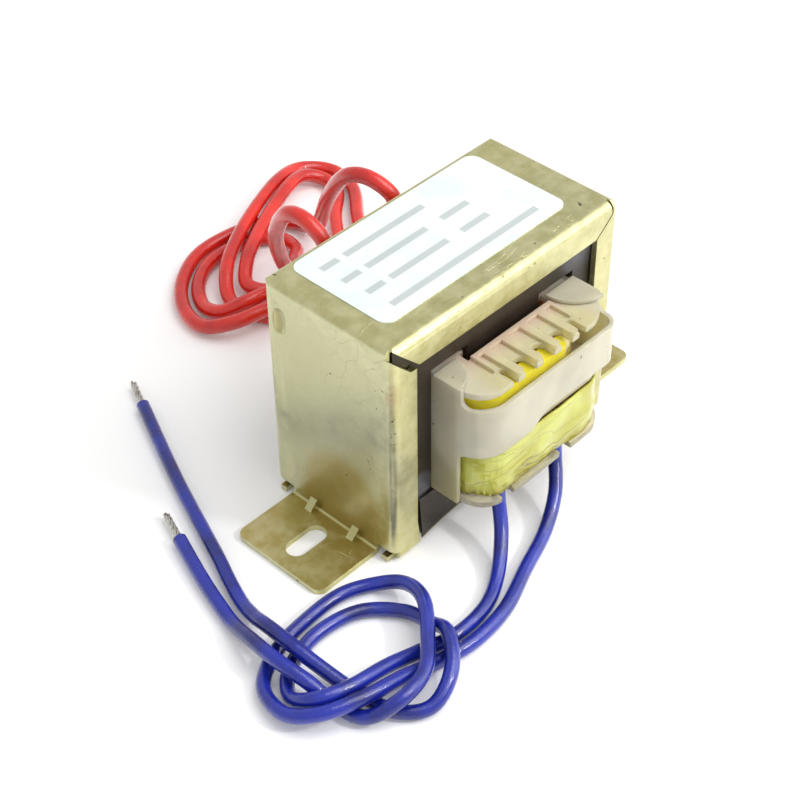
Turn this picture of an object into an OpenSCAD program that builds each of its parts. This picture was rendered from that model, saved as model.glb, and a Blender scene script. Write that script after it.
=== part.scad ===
// Laminated chassis transformer with flying leads.
// Frame: X along the mounting feet, Y across the sheet stack, Z up from the surface it stands on.

/* [Core] */
// Width of the centre leg of an E sheet
centre_leg = 16; // [12:1:22]
// Width of the outer legs, the back of the E and the I
outer_leg = 8; // [6:0.5:11]
// Width of each winding window
window_w = 8; // [7:0.5:11]
// Height of each winding window
window_h = 24; // [22:1:33]
// Thickness of one sheet
sheet_t = 0.5; // [0.35:0.05:1]
// Number of sheets in the stack
sheet_count = 48; // [30:2:60]

/* [Bracket] */
// Sheet thickness of the bracket
metal_t = 1; // [0.8:0.1:1.2]
// Outside radius of its bends
bend_r = 1.5; // [1.4:0.1:1.8]
// Play between the core and the ends of the bracket
end_play = 0.05; // [0.05:0.05:0.3]
// Play between the core and the flanges
side_play = 0.05; // [0.05:0.05:0.3]
// Width of the flanges over the core faces
flange_w = 5; // [3.5:0.5:7]
// Width of the open mitre at one end of each top flange
mitre_gap = 1.5; // [0.3:0.1:2]
// Width of the closed mitre at its other end
mitre_slit = 0.3; // [0.2:0.1:1]
// Height of the lock tabs above the surface
tab_lift = 0.15; // [0.1:0.05:0.5]
// Length of the lock tabs folded under the core
tab_len = 2.6; // [2:0.2:4]
// Relief between a lock tab and the end of the bracket
tab_relief = 1.1; // [1:0.1:1.4]
// Height of the relief over the lock tabs
relief_h = 0.9; // [0.6:0.1:1.5]
// Length of the pressed dimple in an end
dimple_len = 4.5; // [3:0.5:7]

/* [Feet] */
// Reach of each foot past the bracket
foot_len = 12.6; // [11:0.2:18]
// Width of the feet
foot_w = 18.5; // [12:0.5:20]
// Radius of the foot corners
foot_r = 1.6; // [0.5:0.1:3]
// Distance between the two slots
slot_pitch = 63; // [62:0.5:66]
// Width of the slots
slot_w = 3.6; // [3:0.1:5]
// Length of the slots, end to end
slot_len = 7.6; // [6:0.2:8.4]
// Leg of the gussets pressed into the foot bends
gusset_h = 1.6; // [1:0.1:2.5]
// Width of the gussets
gusset_w = 1.4; // [0.8:0.1:2.2]
// Distance between the two gussets of a foot
gusset_pitch = 9.2; // [5:0.2:11]

/* [Bobbin] */
// Wall of the bobbin tube
tube_t = 0.8; // [0.6:0.1:1.2]
// Thickness of the bobbin flanges
flange_t = 1; // [0.8:0.1:1.4]
// Play between the bobbin and the core
core_play = 0.15; // [0.1:0.05:0.3]
// Reach of the flanges past the core faces
overhang = 10; // [9.6:0.1:11]
// Plan radius of the flange corners
corner_r = 5.5; // [4:0.5:6.5]
// Gap between the top flange and the top of the windows
head_gap = 1.6; // [0.4:0.2:2]
// Height of the divider above the bottom flange
lower_h = 9.5; // [7:0.5:9.5]
// Pitch of the comb fingers
finger_pitch = 4.1; // [3.8:0.1:4.4]
// Width of a comb finger
finger_w = 1.5; // [1.1:0.1:1.8]
// Reach of the comb fingers from slot floor to tip
finger_len = 3.2; // [2.8:0.1:3.8]
// Height of the comb's ribs
rib_h = 0.6; // [0.3:0.1:1]
// Width of the comb's ribs
rib_w = 0.6; // [0.4:0.1:1]

/* [Shrouds] */
// Wall of the shrouds
shroud_t = 0.7; // [0.5:0.1:1]
// Length of the side walls inside the winding windows
wing_len = 3; // [1.5:0.5:6]
// Plan radius of the squarer front corner of each shroud
shroud_r = 2.7; // [1:0.1:4]
// Reach of the full-height side walls past the core faces
side_reach = 5.2; // [3:0.2:6]
// Gap between the lower tape and the band
band_gap = 0.1; // [0.1:0.1:1]
// Height of the band itself
band_h = 9.2; // [6:0.2:10]
// Rise of the band's lower edge on its right half
band_step = 2; // [1:0.2:3]
// Length over which that edge rises
rise_len = 4; // [2:0.5:6]
// Radius of the left ear over the top flange
ear_left = 5; // [4:0.2:5.2]
// Radius of the right ear over the top flange
ear_right = 6.4; // [4:0.2:7]
// Thickness of the ears
ear_t = 0.6; // [0.4:0.1:1]

/* [Windings] */
// Thickness of the tape round a winding
tape_t = 0.4; // [0.3:0.05:0.5]
// Play round the windings and the tapes
wrap_play = 0.2; // [0.15:0.05:0.25]
// Thickness of the folded tape pad over the front of the upper winding
pad_t = 2.4; // [2.2:0.1:2.8]

/* [Leads] */
// Outside diameter of the red leads
red_d = 2.7; // [2.3:0.1:2.7]
// Outside diameter of the blue leads
blue_d = 2.3; // [1.8:0.1:2.3]
// Diameter of the tinned tips
tip_d = 1.2; // [0.8:0.1:1.5]
// Length of the tinned tips
tip_len = 6; // [4:0.5:10]
// Diameter of the soldered splices
splice_d = 1.6; // [1.2:0.1:1.7]
// Length of the soldered splices
splice_len = 6; // [4:0.5:6]

/* [Label] */
// Length of the label
label_w = 40; // [20:1:44]
// Width of the label
label_d = 20; // [10:1:22]
// Thickness of the label
label_t = 0.15; // [0.1:0.05:0.3]
// Radius of the label's corners
label_r = 2; // [0.5:0.5:4]
// Offset of the label towards the back
label_shift = 1.7; // [0:0.1:2]

/* [Hidden] */
$fn = 48;

// Core sizes
inner_r = bend_r - metal_t;
bend_room = 0.3 * inner_r;
core_lift = tab_lift + metal_t + bend_room;
core_w = centre_leg + 2 * window_w + 2 * outer_leg;
core_h = window_h + 2 * outer_leg;
stack = sheet_t * sheet_count;
core_top = core_lift + core_h;
window_z = core_lift + outer_leg;
window_x = centre_leg / 2 + window_w;
face_y = stack / 2;

// Bracket sizes
half_l = core_w / 2 + bend_room + end_play + metal_t;
half_d = face_y + bend_room + side_play + metal_t;
top_z = core_top + bend_room + metal_t;
edge_x = half_l - flange_w;
edge_z = top_z - flange_w;
shelf_z = core_lift + relief_h;
mitre_offset = 0.5;
slit_x = 1.3;
slit_knee = [1.5, 2.2];
flare_w = 0.9;
flare_h = 6;
fold_depth = 1.4;
tab_ear = 0.4;
dimple_r = 2.2;
dimple_depth = 0.35;

// Bobbin sizes
shroud_play = 0.15;
cut_r = 1.4;
tube_x = centre_leg / 2 + core_play;
tube_y = face_y + core_play;
shroud_x = window_x - core_play;
half_x = shroud_x - shroud_t - shroud_play;
half_y = face_y + overhang;
shroud_y = half_y;
divider_y = shroud_y - shroud_t - shroud_play;
bob_z = window_z + core_play;
bob_top = window_z + window_h - head_gap;
mid_z = bob_z + flange_t + lower_h;
tip_y = divider_y;
comb_y = tip_y - finger_len;
wall_y = tube_y + tube_t + 0.3;
front_mid = -0.25;
back_mid = 1.9;
back_pitch = 3.8;
front_ends = [1.2, 1.6];
lead_gap = red_d + 0.2;
back_ends = [lead_gap, lead_gap];
finger_count = 4;
opening_x = [-9.4, 9.4];
step_x = -3;
joint = 0.01;

// Winding sizes
wrap_x = half_x - 2 * wrap_play;
upper_y = divider_y - wrap_play;
lower_y = half_y - wrap_play;
red_y = upper_y - tape_t - wrap_play - red_d / 2;
blue_y = lower_y - tape_t - wrap_play - blue_d / 2;
upper_z = mid_z + flange_t + wrap_play;
upper_top = bob_top - flange_t - wrap_play;
lower_z = bob_z + flange_t + wrap_play;
lower_top = mid_z - wrap_play;
band_z = lower_top + band_gap;
red_x = [back_mid + lead_offset(back_pitch), back_mid - lead_offset(back_pitch)];
blue_x = [-9.5, 4];
red_start = (upper_z + upper_top + splice_len) / 2;
blue_start = (lower_z + lower_top - splice_len) / 2;
pad_x = 4.6;
pad_front = upper_y - 0.35;
ring_front = pad_front - pad_t + tape_t;
ring_r = 9.5;

// Routes of the free leads from the exit to the end of the insulation
blue_route_1 = [[blue_x[0], -blue_y, blue_start], [blue_x[0], -blue_y, bob_z - 1], [-12, -23, 4.3],
    [-17, -26.7, 1.5], [-23, -29.4, 1.2], [-30, -29.8, 1.2], [-36.5, -28.1, 1.5], [-42, -27.4, 2.8],
    [-49, -26.9, 4], [-53.8, -24.9, 4], [-54.6, -20.6, 1.5], [-51, -16.7, 1.2], [-44, -14.8, 1.2],
    [-36.5, -16.2, 1.2], [-31.8, -21, 1.2], [-31.3, -26, 2.2], [-32.2, -30.4, 4.2], [-36.6, -35.1, 3.4],
    [-42, -36.4, 1.5], [-46, -33.2, 1.2], [-47.4, -27, 1.2], [-48.6, -20.5, 2.8], [-49.2, -15.5, 4],
    [-48.9, -10, 3.6], [-48.3, -6.4, 2.4],
    [-47.2, -2.4, 1.4], [-45.3, 2.6, 1.2], [-43, 8, 1.2], [-36.5, 24.5, 1.2], [-28.5, 42.5, 1.2]];
blue_route_2 = [[blue_x[1], -blue_y, blue_start], [blue_x[1], -blue_y, bob_z - 1], [0.5, -23.3, 4.3],
    [-5, -26, 1.6], [-13, -28.8, 1.2], [-21, -31.8, 1.2], [-29, -32.6, 1.2], [-36, -31.3, 1.3],
    [-42, -30.5, 2.8], [-49, -29.6, 3.9], [-55, -27.1, 3.7], [-57.6, -22.5, 2.2], [-55.9, -16.3, 1.2],
    [-50, -12.8, 1.2], [-43, -11.7, 1.2], [-36, -11.9, 1.2], [-31, -14.3, 1.4], [-28.7, -18.5, 3],
    [-30.3, -23.8, 4.7], [-34.9, -28.9, 4.4], [-39.6, -32.7, 4.1], [-45.5, -33.8, 4.1], [-49.9, -31.2, 1.8],
    [-51, -26, 1.2], [-52, -21.5, 3.3], [-52.8, -16.5, 4.3], [-52.2, -10.5, 3.4], [-50.6, -3.5, 1.2],
    [-48, 5.5, 1.2], [-44.8, 14.5, 1.2]];
red_route_1 = [[red_x[0], red_y, red_start], [red_x[0], red_y, bob_top + 0.3], [9.5, 20.5, 35.4],
    [8.4, 24.6, 37.2], [7.8, 29, 35.6], [9.4, 34.6, 28.5], [14.6, 43, 16], [20, 50.5, 7.2], [24.6, 57, 2.4],
    [22.5, 63.6, 1.35], [15.5, 66.6, 1.35], [6, 66.9, 1.35], [-1.8, 62.9, 1.35], [-6.8, 56.8, 1.35],
    [-8.2, 50.2, 1.8], [-4.9, 45.1, 3.6], [1.6, 42.7, 4.4], [9, 41, 3], [18, 40.8, 1.35], [27, 45.2, 1.35],
    [34.4, 53.8, 1.35], [40.2, 60.8, 1.35], [41.6, 68, 1.35], [37, 72.2, 2.2], [30, 70.8, 3.7],
    [20.2, 66.8, 4.1], [12, 62.6, 4.1], [5, 58, 3.7], [0.6, 53, 1.6], [0.2, 47.4, 1.35], [3.6, 41.6, 1.35],
    [8.4, 37.2, 1.35]];
red_route_2 = [[red_x[1], red_y, red_start], [red_x[1], red_y, bob_top + 0.3], [-6.2, 20.5, 35.4],
    [-6.4, 24.6, 37.2], [-6, 29, 35.2], [-3.6, 34.2, 27], [2.5, 39.8, 15.4], [8, 44.4, 8.8],
    [13.5, 49.2, 4.9], [18.6, 54.2, 1.9], [19, 59.6, 1.35], [13.4, 63.2, 1.35], [5.4, 63.3, 1.35],
    [-0.6, 59.8, 1.35], [-4, 54.7, 1.35], [-3.8, 49.9, 2.6], [-0.2, 47.1, 4.3], [5, 46.2, 4],
    [11.5, 44.6, 1.5], [19, 45, 1.35],
    [25.2, 49.8, 1.35], [31.4, 56.8, 1.35], [37, 61.8, 1.35], [38.3, 66.4, 1.6], [35, 69, 3],
    [29.4, 67.4, 4.1], [21.4, 63.9, 4.1], [13.6, 59.7, 4.1], [8.2, 56.2, 3.7], [4.9, 52.6, 2.2],
    [7.6, 49, 1.35], [13.4, 49.2, 1.35]];

function lead_offset(pitch) = pitch * (finger_count - 1) / 2 + (finger_w + lead_gap) / 2;

// Tube swept along a route: one ring at each point, square to the route there
function unit(v) = v / norm(v);
function way(p, i) = unit(p[min(i + 1, len(p) - 1)] - p[max(i - 1, 0)]);
function end_way(p, i) = i == 0 ? unit(p[1] - p[0]) : i == len(p) - 1 ? unit(p[i] - p[i - 1]) : way(p, i);
function across(t) = unit(cross(t, abs(t[0]) > 0.9 ? [0, 1, 0] : [1, 0, 0]));
function carried(u, t) = unit(u - (u * t) * t);
function sides(p, i, u) = i == 0 ? [u] :
    let (s = sides(p, i - 1, u)) concat(s, [carried(s[i - 1], end_way(p, i))]);
function ring(c, t, u, r) = [for (k = [0:7]) c + r * (cos(k * 45) * u + sin(k * 45) * cross(t, u))];

// Rounded rectangle between two corners; radii follow the corners from front left to back left
module plate_2d(x0, x1, y0, y1, r) {
    corners = [[x0, y0, 1, 1], [x1, y0, -1, 1], [x1, y1, -1, -1], [x0, y1, 1, -1]];
    difference() {
        translate([x0, y0]) square([x1 - x0, y1 - y0]);
        for (i = [0:3]) if (r[i] > 0) translate([corners[i][0], corners[i][1]])
            scale_sign(corners[i][2], corners[i][3]) corner_cut_2d(r[i]);
    }
}

module scale_sign(sx, sy) {
    mirror([sx < 0 ? 1 : 0, 0]) mirror([0, sy < 0 ? 1 : 0]) children();
}

module corner_cut_2d(r) {
    difference() {
        translate([-1, -1]) square(r + 1);
        translate([r, r]) circle(r);
    }
}

module plate(x0, x1, y0, y1, r, z0, z1) {
    translate([0, 0, z0]) linear_extrude(z1 - z0) plate_2d(x0, x1, y0, y1, r);
}

// Box with all twelve edges rounded, as sheet metal leaves the press
module pressed_box(hx, hy, z0, z1, r) {
    h = z1 - z0;
    intersection() {
        plate(-hx, hx, -hy, hy, [r, r, r, r], z0, z1);
        translate([0, hy, 0]) rotate([90, 0, 0]) linear_extrude(2 * hy)
            plate_2d(-hx, hx, z0, z1, [r, r, r, r]);
        translate([-hx, 0, 0]) rotate([90, 0, 90]) linear_extrude(2 * hx)
            plate_2d(-hy, hy, z0, z1, [r, r, r, r]);
    }
}

module bracket() {
    color([0.70, 0.68, 0.46]) difference() {
        union() {
            bracket_shell();
            for (side = [0, 1]) mirror([side, 0, 0]) foot();
        }
        for (side = [-1, 1]) translate([side * slot_pitch / 2, 0, 0]) slot_cut();
    }
}

module bracket_shell() {
    difference() {
        pressed_box(half_l, half_d, tab_lift, top_z, bend_r);
        pressed_box(half_l - metal_t, half_d - metal_t, tab_lift + metal_t, top_z - metal_t, inner_r);
        // Faces left open between the flanges
        translate([0, half_d + 1, 0]) rotate([90, 0, 0]) linear_extrude(2 * half_d + 2) opening_2d();
        // Underside left open between the lock tabs
        translate([-half_l - 1, tab_len - half_d, tab_lift - 1])
            cube([2 * half_l + 2, 2 * (half_d - tab_len), shelf_z - tab_lift + 1]);
        // Relief beside each foot, as far as the lock tabs
        for (side = [0, 1]) mirror([side, 0, 0]) translate([-half_l - 1, -half_d - 1, tab_lift - 1])
            cube([1 + tab_relief, 2 * half_d + 2, shelf_z - tab_lift + 1]);
        for (turn = [0, 180]) rotate([0, 0, turn]) {
            dimple_cut();
            translate([0, -half_d + bend_r, 0]) rotate([90, 0, 0])
                linear_extrude(bend_r + 1) flange_cuts_2d();
        }
    }
    for (turn = [0, 180]) rotate([0, 0, turn]) for (side = [0, 1]) mirror([side, 0, 0]) tab_end();
}

// End of a lock tab, past the fold and beside the foot
module tab_end() {
    translate([-half_l - tab_ear, fold_depth - half_d, tab_lift])
        cube([tab_ear + tab_relief + 1, tab_len - fold_depth, metal_t]);
}

// Opening of a face, seen from the front: the side flanges widen a little at their lower ends
module opening_2d() {
    low = tab_lift - 1;
    polygon([[-edge_x, edge_z], [-edge_x, flare_h], [flare_w - edge_x, low],
        [edge_x - flare_w, low], [edge_x, flare_h], [edge_x, edge_z]]);
}

// Seen from the front: the open mitre at the left and the closed mitre at the right
module flange_cuts_2d() {
    reach = flange_w + 0.5;
    top_cut = mitre_gap * sqrt(2) - mitre_offset;
    half_slit = 0.7 * mitre_slit;
    translate([-half_l, top_z]) polygon([[-1, 1 - top_cut], [-1, 1], [mitre_offset - 1, 1],
        [reach + mitre_offset, -reach], [reach - top_cut, -reach]]);
    translate([half_l, top_z]) polygon([[-slit_x, 1], [-slit_knee[0], -slit_knee[1]], [-reach, -reach],
        [-reach - half_slit, half_slit - reach], [-slit_knee[0] - half_slit, half_slit - slit_knee[1]],
        [-slit_x - 1.6 * mitre_slit, 1]]);
}

// Shallow pressed hollow near the back of an end
module dimple_cut() {
    translate([-half_l - dimple_r + dimple_depth, face_y - dimple_r, top_z - 2 * dimple_r - dimple_len / 2]) {
        cylinder(r = dimple_r, h = dimple_len - dimple_r, center = true);
        for (side = [-1, 1]) translate([0, 0, side * (dimple_len - dimple_r) / 2]) sphere(dimple_r);
    }
}

// Foot of one end: the end sheet runs down, bends outwards and lies on the surface
module foot() {
    difference() {
        union() {
            translate([0, foot_w / 2, 0]) rotate([90, 0, 0]) linear_extrude(foot_w) foot_section_2d();
            for (side = [-1, 1]) translate([0, side * gusset_pitch / 2, 0]) gusset();
        }
        for (side = [-1, 1]) mirror([0, side > 0 ? 1 : 0, 0])
            translate([-half_l - foot_len, -foot_w / 2, -1])
                linear_extrude(metal_t + 2) corner_cut_2d(foot_r);
    }
}

module foot_section_2d() {
    x = -half_l;
    difference() {
        union() {
            translate([x, metal_t]) square([metal_t, shelf_z + 1 - metal_t]);
            translate([x - foot_len, 0]) square([foot_len + metal_t, metal_t]);
            translate([x - inner_r, metal_t]) square(inner_r);
        }
        translate([x - inner_r, metal_t + inner_r]) circle(inner_r);
        translate([x + metal_t, 0]) mirror([1, 0]) corner_cut_2d(bend_r);
    }
}

module gusset() {
    translate([-half_l + joint, gusset_w / 2, metal_t - joint]) rotate([90, 0, 0])
        linear_extrude(gusset_w) polygon([[0, 0], [-gusset_h, 0], [0, gusset_h]]);
}

module slot_cut() {
    translate([0, 0, -1]) linear_extrude(metal_t + 2) {
        square([slot_len - slot_w, slot_w], center = true);
        for (side = [-1, 1]) translate([side * (slot_len - slot_w) / 2, 0]) circle(slot_w / 2);
    }
}

// Sheets alternate: an E with its back up over an I, then the same pair upside down
module e_laminations() {
    color([0.30, 0.27, 0.24]) for (i = [0:sheet_count - 1]) sheet_at(i) e_sheet_2d();
}

module i_laminations() {
    color([0.34, 0.31, 0.27]) for (i = [0:sheet_count - 1]) sheet_at(i) i_sheet_2d();
}

module sheet_at(i) {
    translate([0, -face_y + (i + 1) * sheet_t, core_lift + core_h / 2]) rotate([90, 0, 0])
        mirror([0, i % 2, 0]) linear_extrude(sheet_t) children();
}

module e_sheet_2d() {
    difference() {
        translate([-core_w / 2, -core_h / 2 + outer_leg]) square([core_w, core_h - outer_leg]);
        for (side = [-1, 1]) translate([side * (centre_leg + window_w) / 2 - window_w / 2, -window_h / 2 - 1])
            square([window_w, window_h + 1]);
    }
}

module i_sheet_2d() {
    translate([-core_w / 2, -core_h / 2]) square([core_w, outer_leg]);
}

// Winding former: tube and three flanges, with a comb at each end of the top flange
module bobbin() {
    r = [corner_r - 1, corner_r, corner_r - 1, corner_r];
    color([0.86, 0.84, 0.74]) difference() {
        union() {
            plate(-half_x, half_x, -half_y, half_y, r, bob_z, bob_z + flange_t);
            plate(-half_x, half_x, -divider_y, divider_y, r, mid_z, mid_z + flange_t);
            top_flange(r);
            plate(-tube_x - tube_t, tube_x + tube_t, -tube_y - tube_t, tube_y + tube_t,
                [tube_t, tube_t, tube_t, tube_t], bob_z, bob_top);
        }
        translate([-tube_x, -tube_y, bob_z - 1]) cube([2 * tube_x, 2 * tube_y, bob_top - bob_z + 2]);
        for (turn = [0, 180]) rotate([0, 0, turn]) cross_slot();
        for (x = blue_x) translate([0, 0, bob_z - 1]) comb_slot(x, -blue_y, blue_d + 0.4, flange_t + 2);
    }
}

module top_flange(r) {
    front_floors = [comb_y + front_ends[0] / 2, comb_y + front_ends[1] / 2];
    difference() {
        plate(-half_x, half_x, -divider_y, divider_y, r, bob_top - flange_t, bob_top);
        comb_cut(front_mid, finger_pitch, front_ends, front_floors);
        rotate([0, 0, 180]) comb_cut(-back_mid, back_pitch, back_ends, [red_y, red_y]);
    }
    comb(front_mid, finger_pitch, front_ends, front_floors, front_ends);
    rotate([0, 0, 180]) comb(-back_mid, back_pitch, back_ends, [red_y, red_y], [0, 0]);
}

function finger_x(mid, pitch, i) = mid + (i - (finger_count - 1) / 2) * pitch;

// Fingers with the ribs and pockets behind them
module comb(mid, pitch, ends, floors, pockets) {
    left = finger_x(mid, pitch, 0) - finger_w / 2 - pockets[0] - rib_w;
    right = finger_x(mid, pitch, finger_count - 1) + finger_w / 2 + pockets[1] + rib_w;
    difference() {
        translate([left, -comb_y, bob_top - flange_t / 2])
            cube([right - left, comb_y - wall_y, flange_t / 2 + rib_h]);
        for (i = [0:finger_count - 2]) pocket(finger_x(mid, pitch, i + 0.5), pitch - finger_w);
        if (pockets[0] > 0) pocket(left + rib_w + pockets[0] / 2, pockets[0]);
        if (pockets[1] > 0) pocket(right - rib_w - pockets[1] / 2, pockets[1]);
        comb_cut(mid, pitch, ends, floors);
    }
    for (i = [0:finger_count - 1]) translate([finger_x(mid, pitch, i), 0, bob_top - flange_t]) finger();
}

module pocket(x, gap) {
    translate([x - gap / 2, -comb_y - 1, bob_top]) cube([gap, comb_y + 1 - wall_y - rib_w * 1.5, rib_h + 1]);
}

module finger() {
    linear_extrude(flange_t + rib_h) {
        translate([0, -tip_y + finger_w / 2]) circle(finger_w / 2);
        translate([-finger_w / 2, -tip_y + finger_w / 2]) square([finger_w, finger_len + 1 - finger_w / 2]);
    }
}

module comb_cut(mid, pitch, ends, floors) {
    h = flange_t + rib_h + 2;
    gap = pitch - finger_w;
    translate([0, 0, bob_top - flange_t - 1]) {
        for (i = [0:finger_count - 2]) comb_slot(finger_x(mid, pitch, i + 0.5), -comb_y - gap / 2, gap, h);
        comb_slot(finger_x(mid, pitch, 0) - (finger_w + ends[0]) / 2, -floors[0], ends[0], h);
        comb_slot(finger_x(mid, pitch, finger_count - 1) + (finger_w + ends[1]) / 2, -floors[1], ends[1], h);
    }
}

// Slot open to the front, with a round floor about y
module comb_slot(x, y, gap, h) {
    linear_extrude(h) {
        translate([x, y]) circle(gap / 2);
        translate([x - gap / 2, y - half_y]) square([gap, half_y]);
    }
}

// Slot in the top flange over the front wall of the tube
module cross_slot() {
    translate([opening_x[0], -wall_y, bob_top - 3 * flange_t])
        cube([opening_x[1] - opening_x[0], wall_y - tube_y + 1, 4 * flange_t]);
}

module shroud_front() {
    color([0.88, 0.86, 0.76, 0.8]) shroud();
}

module shroud_back() {
    color([0.88, 0.86, 0.76, 0.8]) rotate([0, 0, 180]) shroud();
}

// Cover round the overhanging windings: side walls that slide into the windows, a band and two ears
module shroud() {
    wing_y = face_y - wing_len;
    ear_z = bob_top + shroud_play;
    difference() {
        plate(-shroud_x, shroud_x, -shroud_y, -wing_y, [corner_r, shroud_r, 0, 0], bob_z, ear_z + ear_t);
        plate(-shroud_x + shroud_t, shroud_x - shroud_t, -shroud_y + shroud_t, -wing_y + 1,
            [corner_r - shroud_t, shroud_r - shroud_t, 0, 0], bob_z - 1, ear_z + ear_t + 1);
        translate([-shroud_x - 1, -tube_y, bob_top]) cube([2 * shroud_x + 2, tube_y, ear_z + ear_t]);
        translate([-shroud_x - 1, 0, 0]) rotate([90, 0, 90]) linear_extrude(2 * shroud_x + 2) side_cuts_2d();
        translate([0, -face_y - side_reach, 0]) rotate([90, 0, 0]) linear_extrude(shroud_y) band_step_2d();
    }
    translate([0, 0, ear_z]) linear_extrude(ear_t) {
        translate([-shroud_x, -tube_y]) ear_2d(ear_left);
        translate([shroud_x, -tube_y]) mirror([1, 0]) ear_2d(ear_right);
    }
}

// Quarter disc that lies over a corner of the top flange
module ear_2d(r) {
    intersection() {
        circle(r);
        translate([shroud_t / 2, -r]) square(r);
    }
}

// Seen from the side: the openings over and under the band
module side_cuts_2d() {
    reach = face_y + side_reach;
    plate_2d(-shroud_y - 1, -reach - 0.4, band_z + band_h, bob_top + 5, [0, cut_r, 0, 0]);
    plate_2d(-shroud_y - 1, -reach, bob_z - 1, band_z, [0, 0, cut_r, 0]);
}

// Seen from the front: the band's lower edge rises to the right in an S-curve
module band_step_2d() {
    curve = [for (a = [0:15:180])
        [step_x + rise_len * (a / 180 - 0.5), band_z + band_step * (1 - cos(a)) / 2]];
    polygon(concat(curve, [[shroud_x + 1, band_z + band_step], [shroud_x + 1, band_z - 1],
        [curve[0][0], band_z - 1]]));
}

// Outline of a winding or tape: depth is how far it lies inside the outside of the tape
module wrap_2d(y_front, y_back, r_front, depth) {
    r = corner_r - 0.5;
    plate_2d(-wrap_x + depth, wrap_x - depth, -y_front + depth, y_back - depth,
        [r - depth, r_front - depth, r - depth, r + 2 - depth]);
}

module winding(y_front, y_back, r_front, z0, z1) {
    depth = tape_t + wrap_play;
    hole_x = tube_x + tube_t + wrap_play;
    hole_y = tube_y + tube_t + wrap_play;
    translate([0, 0, z0]) linear_extrude(z1 - z0) difference() {
        wrap_2d(y_front, y_back, r_front, depth);
        translate([-hole_x, -hole_y]) square([2 * hole_x, 2 * hole_y]);
    }
}

module primary_winding() {
    color([0.72, 0.40, 0.22])
        winding(ring_front, red_y - red_d / 2 + tape_t, ring_r, upper_z, upper_top);
}

module secondary_winding() {
    color([0.72, 0.40, 0.22])
        winding(blue_y - blue_d / 2 + tape_t, lower_y, corner_r + 1.5, lower_z, lower_top);
}

// Tape of the upper winding, with a folded pad over its front that stops short of one corner
module primary_tape() {
    color([0.85, 0.80, 0.20]) translate([0, 0, upper_z]) linear_extrude(upper_top - upper_z)
        difference() {
            union() {
                wrap_2d(ring_front, upper_y, ring_r, 0);
                plate_2d(-wrap_x, pad_x, -pad_front, 0, [corner_r - 0.5, 0.5, 0, 0]);
            }
            wrap_2d(ring_front, upper_y, ring_r, tape_t);
        }
}

module secondary_tape() {
    color([0.72, 0.74, 0.28]) translate([0, 0, lower_z]) linear_extrude(lower_top - lower_z)
        difference() {
            wrap_2d(lower_y, lower_y, corner_r + 1.5, 0);
            wrap_2d(lower_y, lower_y, corner_r + 1.5, tape_t);
        }
}

module label() {
    color([0.92, 0.95, 0.94]) translate([-1.2, label_shift, 0])
        plate(-label_w / 2, label_w / 2, -label_d / 2, label_d / 2, [label_r, label_r, label_r, label_r],
            top_z, top_z + label_t);
}

module splice(p, up) {
    color([0.75, 0.75, 0.76]) translate(p) mirror([0, 0, up ? 0 : 1]) cylinder(d = splice_d, h = splice_len);
}

module primary_splice_1() {
    splice(red_route_1[0], false);
}

module primary_splice_2() {
    splice(red_route_2[0], false);
}

module secondary_splice_1() {
    splice(blue_route_1[0], true);
}

module secondary_splice_2() {
    splice(blue_route_2[0], true);
}

module lead(p, d) {
    n = len(p);
    u = sides(p, n - 1, across(end_way(p, 0)));
    points = [for (i = [0:n - 1]) each ring(p[i], end_way(p, i), u[i], d / 2)];
    walls = [for (i = [0:n - 2]) for (k = [0:7]) let (a = i * 8 + k, b = i * 8 + (k + 1) % 8)
        each [[a, b + 8, b], [a, a + 8, b + 8]]];
    polyhedron(points, concat([[for (k = [0:7]) k]], walls, [[for (k = [7:-1:0]) (n - 1) * 8 + k]]));
}

// Tinned strand ends that follow on from the end of a lead
module tip(p) {
    n = len(p);
    t = end_way(p, n - 1);
    color([0.78, 0.78, 0.80]) translate(p[n - 1]) rotate([0, acos(t[2]), atan2(t[1], t[0])])
        cylinder(d = tip_d, h = tip_len);
}

module red_lead_1() {
    color([0.85, 0.20, 0.16]) lead(red_route_1, red_d);
}

module red_lead_2() {
    color([0.85, 0.20, 0.16]) lead(red_route_2, red_d);
}

module blue_lead_1() {
    color([0.16, 0.22, 0.66]) lead(blue_route_1, blue_d);
}

module blue_lead_2() {
    color([0.16, 0.22, 0.66]) lead(blue_route_2, blue_d);
}

module red_tip_1() {
    tip(red_route_1);
}

module red_tip_2() {
    tip(red_route_2);
}

module blue_tip_1() {
    tip(blue_route_1);
}

module blue_tip_2() {
    tip(blue_route_2);
}

bracket();
e_laminations();
i_laminations();
bobbin();
shroud_front();
shroud_back();
primary_winding();
secondary_winding();
primary_tape();
secondary_tape();
primary_splice_1();
primary_splice_2();
secondary_splice_1();
secondary_splice_2();
label();
red_lead_1();
red_lead_2();
blue_lead_1();
blue_lead_2();
red_tip_1();
red_tip_2();
blue_tip_1();
blue_tip_2();
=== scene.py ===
# %% [markdown]
# # Laminated chassis transformer
# A lesson in dressing an exact CAD model. The CAD gives every piece its size and place;
# this script gives the pieces their finish, lays the leads and sets up a plain studio.
# All lengths in the tables are millimetres, as on the drawing, and MM turns them into metres.

# %% Load the frame
import math
import random

import bpy
from mathutils import Matrix, Vector


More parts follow.
